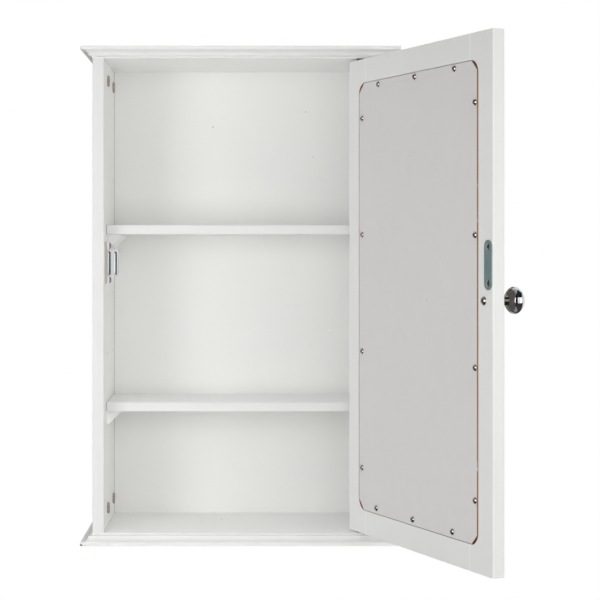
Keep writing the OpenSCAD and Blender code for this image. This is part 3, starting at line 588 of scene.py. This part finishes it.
# Off-white ears, a lilac grey body, and slots that are black with dust and painted shadow
low, high = np.array(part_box("catch_housing"))
mid = (low + high) / 2
CATCH_BODY = ((low[0] - MM, low[1] - MM, mid[2] - CATCH_H / 2),
              (high[0] + MM, high[1] + MM, mid[2] + CATCH_H / 2), "cdd0d6")
CATCH_SLOT_SHADOW = ((low[0] + 0.7 * MM, low[1] + 0.3 * MM, mid[2] - SLOTS_H / 2),
               (low[0] + SLOTS_W, high[1], mid[2] + SLOTS_H / 2), "141416")
housing_plastic = moulded_plastic(
    "lilac grey moulded plastic", "e9e8e4", 0.34, (CATCH_BODY, CATCH_SLOT_SHADOW))
finish(housing_plastic, "catch_housing")
# Pale blanked edges with a hint of green, more matt than bright
blanked_steel = metal("blanked steel plate", "dce1d7", "eef1ea", 0.5, 2.0, metallic=0.3)
finish(blanked_steel, "catch_pole_plates")
# Nearly black and dull
ferrite = metal("sintered ferrite", "1b1b1e", "2b2b2f", 0.6, 0.6)
finish(ferrite, "catch_magnet")

ear_screws = [cross_head_screw(
    (low[0] + EAR_T, mid[1], mid[2] + end * EAR_PITCH / 2), np.array([0, 1, 0]),
    np.array([1, 0, 0]), turn, **PAN_SCREW) for end, turn in EAR_TURNS.items()]
catch_screws = shell("catch_screws_pan_head", ear_screws, drawn_steel, "cabinet")
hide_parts("catch_screws")

# Door frame
# Two stiles and two rails, doweled and glued, with rebates for glass and backing cut from
# behind. The lacquer shows the glue joints as thin ridges, whitened by a painted highlight,
# and leaves the rebates half raw.
joint = frame["joints"][0]
OPEN_ANGLE = math.radians(-joint["range_deg"][0])
PIVOT = np.array(joint["pos_m"])
DOOR_LOW = np.array([-144.5, -140.0, -476.5]) * MM
DOOR_HIGH = np.array([144.5, -127.5, 25.5]) * MM
DOOR_MID = (DOOR_LOW + DOOR_HIGH) / 2
INNER_FACE_MID = np.array([DOOR_MID[0], DOOR_HIGH[1], DOOR_MID[2]])
STILE_W = 40 * MM
REBATE_MARGIN = 25 * MM
DOOR_LACQUER = "f1f1f0"
# Painted shade: the greyer tone that the door's free edge is turned to
DOOR_EDGE_SHADE_LACQUER = "e1e1e0"
RIDGE_HIGHLIGHT = "ffffff"
RAW_WALL = "a4642f"
# Each pair is the levels of none and of all. A ridge goes by the distance from its joint.
RIDGE_SPAN = (0.9 * MM, 0.2 * MM)
# The walls of the rebates are raw from their mouth, under the inner face, to their foot, and as
# far out as their rim, except where overspray hides them
MOUTH, FOOT, RIM = (-0.2 * MM, -0.5 * MM), (-6.9 * MM, -6.4 * MM), (0.7 * MM, 0.2 * MM)
OVERSPRAY_MM, OVERSPRAY = 9, (0.8, 0.6)
# The top rail's wall is painted: high up on the door, and clear of the rebate's corners
PAINTED_UP, PAINTED_IN = (0, 90 * MM), (-13 * MM, -15 * MM)


def turned(vectors, angle):
    """Vectors turned about the upright axis: x' = x cos a - y sin a, y' = x sin a + y cos a."""
    c, s = math.cos(angle), math.sin(angle)
    return np.asarray(vectors) @ np.array([[c, s, 0], [-s, c, 0], [0, 0, 1]])


def on_door(points):
    """Points of the shut door, turned about the pivot to where the open door stands."""
    return PIVOT + turned(np.asarray(points) - PIVOT, OPEN_ANGLE)


def door_facing(tree):
    """Parts along X, Y and Z of a face's direction on the shut door."""
    facing = add_node(tree, "ShaderNodeMapping", {
        "Vector": add_node(tree, "ShaderNodeTexCoord").outputs["Normal"]}, {
        "Rotation": (0, 0, -OPEN_ANGLE)})
    return add_node(tree, "ShaderNodeSeparateXYZ", {0: facing}).outputs


# Mapping that turns a place back to the shut door, with the middle of its inner face at 0
TO_SHUT_DOOR = {"Location": PIVOT - turned(PIVOT, -OPEN_ANGLE) - INNER_FACE_MID,
                "Rotation": (0, 0, -OPEN_ANGLE)}
# Satin white, greyer on the free edge as painted shade, with raised joint lines whitened by a
# painted highlight, and brown walls in the rebates
door_lacquer, tree, place, tone = lacquer_start(
    "satin white lacquer on the door frame", DOOR_LACQUER)
free_edge_shade = add_node(tree, "ShaderNodeMapRange", {0: door_facing(tree)["X"]}, {
    1: FACING_NONE, 2: FACING_ALL})
tone = add_node(tree, "ShaderNodeMix", {0: free_edge_shade, 6: tone}, {7: linear(DOOR_EDGE_SHADE_LACQUER)},
                data_type="RGBA")
shut = add_node(tree, "ShaderNodeMapping", {"Vector": place}, TO_SHUT_DOOR)
along = add_node(tree, "ShaderNodeSeparateXYZ", {0: shut}).outputs
away = add_node(tree, "ShaderNodeSeparateXYZ", {
    0: add_node(tree, "ShaderNodeVectorMath", {0: shut}, operation="ABSOLUTE")}).outputs
half_w, half_h = (DOOR_HIGH - DOOR_LOW)[[0, 2]] / 2
off_joint = add_node(tree, "ShaderNodeMath", {0: away["X"]}, {1: half_w - STILE_W},
                     operation="SUBTRACT")
off_joint = add_node(tree, "ShaderNodeMath", {0: off_joint}, operation="ABSOLUTE")
ridge = inside_all(tree, [
    (off_joint, *RIDGE_SPAN), (away["Z"], half_h - STILE_W - MM, half_h - STILE_W)])
# The ridges are raised by the bump and whitened by a painted highlight
tone = add_node(tree, "ShaderNodeMix", {0: ridge, 6: tone}, {7: linear(RIDGE_HIGHLIGHT)},
                data_type="RGBA")
overspray = add_node(tree, "ShaderNodeTexNoise", {"Vector": place}, {
    "Scale": 1 / (OVERSPRAY_MM * MM), "Detail": 5.0})
rim_x, rim_z = half_w - REBATE_MARGIN, half_h - REBATE_MARGIN
raw = inside_all(tree, [
    (along["Y"], *MOUTH), (along["Y"], *FOOT), (away["X"], rim_x + RIM[0], rim_x + RIM[1]),
    (away["Z"], rim_z + RIM[0], rim_z + RIM[1]), (overspray, *OVERSPRAY)])
painted = inside_all(tree, [
    (along["Z"], *PAINTED_UP), (away["X"], rim_x + PAINTED_IN[0], rim_x + PAINTED_IN[1])])
raw = add_node(tree, "ShaderNodeMath", {0: raw, 1: painted}, operation="SUBTRACT", use_clamp=True)
tone = add_node(tree, "ShaderNodeMix", {0: raw, 6: tone}, {7: linear(RAW_WALL)}, data_type="RGBA")
lacquer_end(tree, place, tone, ridge=ridge)
finish(door_lacquer, "door_stile_hinge", "door_stile_free", "door_rail_top", "door_rail_bottom")

# Mirror glass
# Float glass, silvered behind, with clipped corners. It lies in the deeper rebate against
# the frame's front lip.
SILVER = "e4e8e6"
GROUND_DARK, GROUND_LIGHT = "4c6a5e", "6d8c7e"
GROUND_MM = 2.5
GROUND_ROUGH, SILVER_ROUGH = 0.35, 0.015
FRONT_NONE, FRONT_ALL = -0.5, -0.8
# A cool clear mirror in front, and ground edges that look bottle green
mirror, tree, place = new_material("silvered float glass")
silver = add_node(tree, "ShaderNodeMapRange", {0: door_facing(tree)["Y"]}, {
    1: FRONT_NONE, 2: FRONT_ALL})
green = add_node(tree, "ShaderNodeValToRGB", {
    0: add_node(tree, "ShaderNodeTexNoise", {"Vector": place}, {"Scale": 1 / (GROUND_MM * MM)})})
green.color_ramp.elements[0].color = linear(GROUND_DARK)
green.color_ramp.elements[1].color = linear(GROUND_LIGHT)
tone = add_node(tree, "ShaderNodeMix", {0: silver, 6: green}, {7: linear(SILVER)},
                data_type="RGBA")
rough = add_node(tree, "ShaderNodeMapRange", {0: silver}, {3: GROUND_ROUGH, 4: SILVER_ROUGH})
glass = add_node(tree, "ShaderNodeBsdfPrincipled", {
    "Base Color": tone, "Metallic": silver, "Roughness": rough})
add_node(tree, "ShaderNodeOutputMaterial", {"Surface": glass})
finish(mirror, "mirror_glass")

# Backing panel
# Hardboard rolled with one thin coat of pale grey paint. It holds the glass in the rebate,
# and its sawn edges are bare brown board.
BACKING_PAINT = "e3e1e0"
ROLLER_MM = 14
DENT = "b4b2ae"
DENTS = [((-1.2, 0, 146.3), 0.8), ((-23.0, 0, 0.0), 0.9)]
SAWN_BOARD = "a87644"
CUT_NONE, CUT_ALL = 0.8, 0.5
# The paint is chipped along the free side, by levels of none and of all
CHIPPED_SIDE = (-116.0 * MM, -116.4 * MM)
CHIPS_MM, CHIPS = 12, (0.75, 0.62)
# Flat grey with a dull sheen and the roller's faint clouds, framed by a brown line
backing_paint, tree, place, tone = lacquer_start("thin grey paint on hardboard", BACKING_PAINT)
tone = shaded(tree, place, tone, ROLLER_MM, *DRIFT)
shut = add_node(tree, "ShaderNodeMapping", {"Vector": place}, TO_SHUT_DOOR)
for at, radius_mm in DENTS:
    tone = mark(tree, shut, tone, np.array(at) * MM, radius_mm * MM, DENT)
level_face = add_node(tree, "ShaderNodeMath", {0: door_facing(tree)["Y"]}, operation="ABSOLUTE")
cut_edge = add_node(tree, "ShaderNodeMapRange", {0: level_face}, {1: CUT_NONE, 2: CUT_ALL})
free_side = add_node(tree, "ShaderNodeSeparateXYZ", {0: shut}).outputs["X"]
chips = add_node(tree, "ShaderNodeTexNoise", {"Vector": place}, {
    "Scale": 1 / (CHIPS_MM * MM), "Detail": 6.0})
bare = inside_all(tree, [(free_side, *CHIPPED_SIDE), (chips, *CHIPS)])
bare = add_node(tree, "ShaderNodeMath", {0: cut_edge, 1: bare}, operation="MAXIMUM")
tone = add_node(tree, "ShaderNodeMix", {0: bare, 6: tone}, {7: linear(SAWN_BOARD)},
                data_type="RGBA")
lacquer_end(tree, place, tone, 0.55)
finish(backing_paint, "mirror_backing")

# Backing screws
# Fourteen nickel plated pan-head screws with a cross recess. They were driven by eye, so
# each sits at its own angle and the rows stand a little off the middle.
INWARD = turned((0, 1, 0), OPEN_ANGLE)
ALONG = turned((1, 0, 0), OPEN_ANGLE)
# Millimetres from the middle of the door's inner face, along it and up it
ROW_X = np.array([-76.5, 0, 76.5])
ROWS = [(4.4, -219.7), (0.8, 221.2)]
COLUMN_Z = 123.4 * np.array([-1.5, -0.5, 0.5, 1.5])
COLUMNS = [(-112.9, 1.0), (112.9, 3.5)]
SINK = 0.5
spots = [(x + off, z) for off, z in ROWS for x in ROW_X]
spots += [(x, z + off) for x, off in COLUMNS for z in COLUMN_Z]


def door_seat(x_mm, z_mm, lift_mm=0.0):
    """Point of the open door's inner face, given from its middle and lifted off it, in metres."""
    return on_door(INNER_FACE_MID + np.array([x_mm, lift_mm, z_mm]) * MM)


# Warm pale grey whose small highlights are a little blurred
nickel = metal("dull nickel plate", "b5ada5", "d0c9c1", 0.22, 1.2)
turns = np.random.default_rng(7).uniform(0, 90, len(spots))
screws = [cross_head_screw(door_seat(x, z, -SINK), ALONG, INWARD, turn, **PAN_SCREW)
          for (x, z), turn in zip(spots, turns)]
backing_screws = shell("backing_screws_pan_head", screws, nickel, "door")
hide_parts("backing_screws")

# Strike plate
# A stamped steel strip with round ends, which the catch pulls. Two screws with flat oval
# heads hold it to the free stile.
STRIKE_X, STRIKE_Z, STRIKE_PITCH, STRIKE_T = -137.4, 35, 33.5, 1.2
STRIKE_TURNS = {-1: 25, 1: 65}
OVAL_SCREW = {"head_r": 3.1, "head_h": 0.4, "shank_r": 1.45, "shank_l": 8, "recess_l": 3.4,
              "fullness": 0.9}
# A blue-grey film dulls the steel to a slate tone without highlights
strike_steel = metal("stamped steel with a blue-grey film", "748b8d", "879d9f", 0.55, 1.6, 0.2, 0.4)
finish(strike_steel, "strike_plate")
strike_heads = [cross_head_screw(
    door_seat(STRIKE_X, STRIKE_Z + end * STRIKE_PITCH / 2, STRIKE_T), ALONG, INWARD, turn,
    **OVAL_SCREW) for end, turn in STRIKE_TURNS.items()]
strike_screws = shell("strike_screws_oval_head", strike_heads, nickel, "door")
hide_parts("strike_screws")

# Knob
# Turned and chrome plated brass: a foot, a neck, a flared back and a domed cap. A screw
# from the door's inner face holds it.
KNOB_X, KNOB_Z = -129.0, 2.0
FOOT_R, FOOT_H, NECK_R, NECK_H = 7.0, 1.6, 5.0, 12.0
CAP_R, RIM_H, BAND_H, DOME_H = 12.85, 21.5, 1.0, 8.0
FOOT_EDGE_R, FOOT_TOP_R, NECK_ROOT_R, RIM_EDGE_R = 0.3, 0.4, 0.8, 0.25
DOME_SHARE = 0.985
KNOB_SPOKES = 96
# Painted shade: the flare behind the rim takes a darker chrome, so that it reflects darker
FLARE_SHADE, CHROME = "7f7a77", "d3d4d7"
# Heights over which the painted shade gives way to clear chrome
FLARE_SHADE_END = (RIM_H - 5.5, RIM_H - 4.5)
SMEAR_MM, POLISH = 6, (0.04, 0.09)
KNOB_SCREW = {"head_r": 4.4, "head_h": 2.4, "shank_r": 2.0, "shank_l": 12.4, "recess_l": 4.6}


def arc(centre, radius, start_deg, end_deg, count):
    """Points of a circular arc in the knob's half-section."""
    a = np.radians(np.linspace(start_deg, end_deg, count))
    return np.stack([centre[0] + radius * np.cos(a), centre[1] + radius * np.sin(a)], -1)


# Half-section from the door outwards. The flare's radius grows by the sine of a quarter turn,
# and the dome is an arc through the rim whose radius is (r ** 2 + h ** 2) / 2 h.
t = np.linspace(0, 1, 40)[:, None]
flare = np.concatenate([
    NECK_R + (CAP_R - NECK_R) * np.sin(np.pi / 2 * t), NECK_H + (RIM_H - BAND_H - NECK_H) * t], 1)
dome_r = (CAP_R ** 2 + DOME_H ** 2) / (2 * DOME_H)
dome_half = math.degrees(math.asin(CAP_R / dome_r))
section = np.concatenate([
    [(0, 0)],
    arc((FOOT_R - FOOT_EDGE_R, FOOT_EDGE_R), FOOT_EDGE_R, -90, 0, 6),
    arc((FOOT_R - FOOT_TOP_R, FOOT_H - FOOT_TOP_R), FOOT_TOP_R, 0, 90, 6),
    arc((NECK_R + NECK_ROOT_R, FOOT_H + NECK_ROOT_R), NECK_ROOT_R, -90, -180, 8),
    flare,
    arc((CAP_R - RIM_EDGE_R, RIM_H - RIM_EDGE_R), RIM_EDGE_R, 0, 60, 5),
    arc((0, RIM_H + DOME_H - dome_r), dome_r, 90 - dome_half * DOME_SHARE, 90, 40)])
spin = np.linspace(0, 2 * np.pi, KNOB_SPOKES + 1)[None, :, None]
round_axis = np.cos(spin) * ALONG + np.sin(spin) * np.array([0, 0, 1])
knob_seat = on_door((DOOR_MID[0] + KNOB_X * MM, DOOR_LOW[1], DOOR_MID[2] + KNOB_Z * MM))
knob_points = knob_seat + MM * (
    section[:, :1, None] * round_axis - section[:, 1:, None] * INWARD)

# A clear mirror on the cap, and a darker, browner one behind the rim: painted shade that darkens
# what the flare reflects
chrome, tree, place = new_material("polished chrome plate, painted dark behind the rim")
height = add_node(tree, "ShaderNodeVectorMath", {0: place}, {1: knob_seat}, operation="SUBTRACT")
height = add_node(tree, "ShaderNodeVectorMath", {0: height}, {1: -INWARD}, operation="DOT_PRODUCT")
cap = add_node(tree, "ShaderNodeMapRange", {0: height}, {
    1: FLARE_SHADE_END[0] * MM, 2: FLARE_SHADE_END[1] * MM})
tone = add_node(tree, "ShaderNodeMix", {0: cap}, {6: linear(FLARE_SHADE), 7: linear(CHROME)},
                data_type="RGBA")
smears = add_node(tree, "ShaderNodeTexNoise", {"Vector": place}, {
    "Scale": 1 / (SMEAR_MM * MM), "Detail": 4.0})
rough = add_node(tree, "ShaderNodeMapRange", {0: smears}, {
    1: NOISE_LOW, 2: NOISE_HIGH, 3: POLISH[0], 4: POLISH[1]})
plating = add_node(tree, "ShaderNodeBsdfPrincipled", {"Base Color": tone, "Roughness": rough}, {
    "Metallic": 1.0})
add_node(tree, "ShaderNodeOutputMaterial", {"Surface": plating})
knob = shell("knob_turned", [knob_points], chrome, "door", 30)
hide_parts("knob")

knob_screw_points = cross_head_screw(door_seat(KNOB_X, KNOB_Z), ALONG, INWARD, 30, **KNOB_SCREW)
knob_screw = shell("knob_screw_pan_head", [knob_screw_points], nickel, "door")
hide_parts("knob_screw")

# Sizes
# Box of this dressed scene, which should be the built model's box, since the dressed
# pieces stand in for built ones of the same size.
low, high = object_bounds()
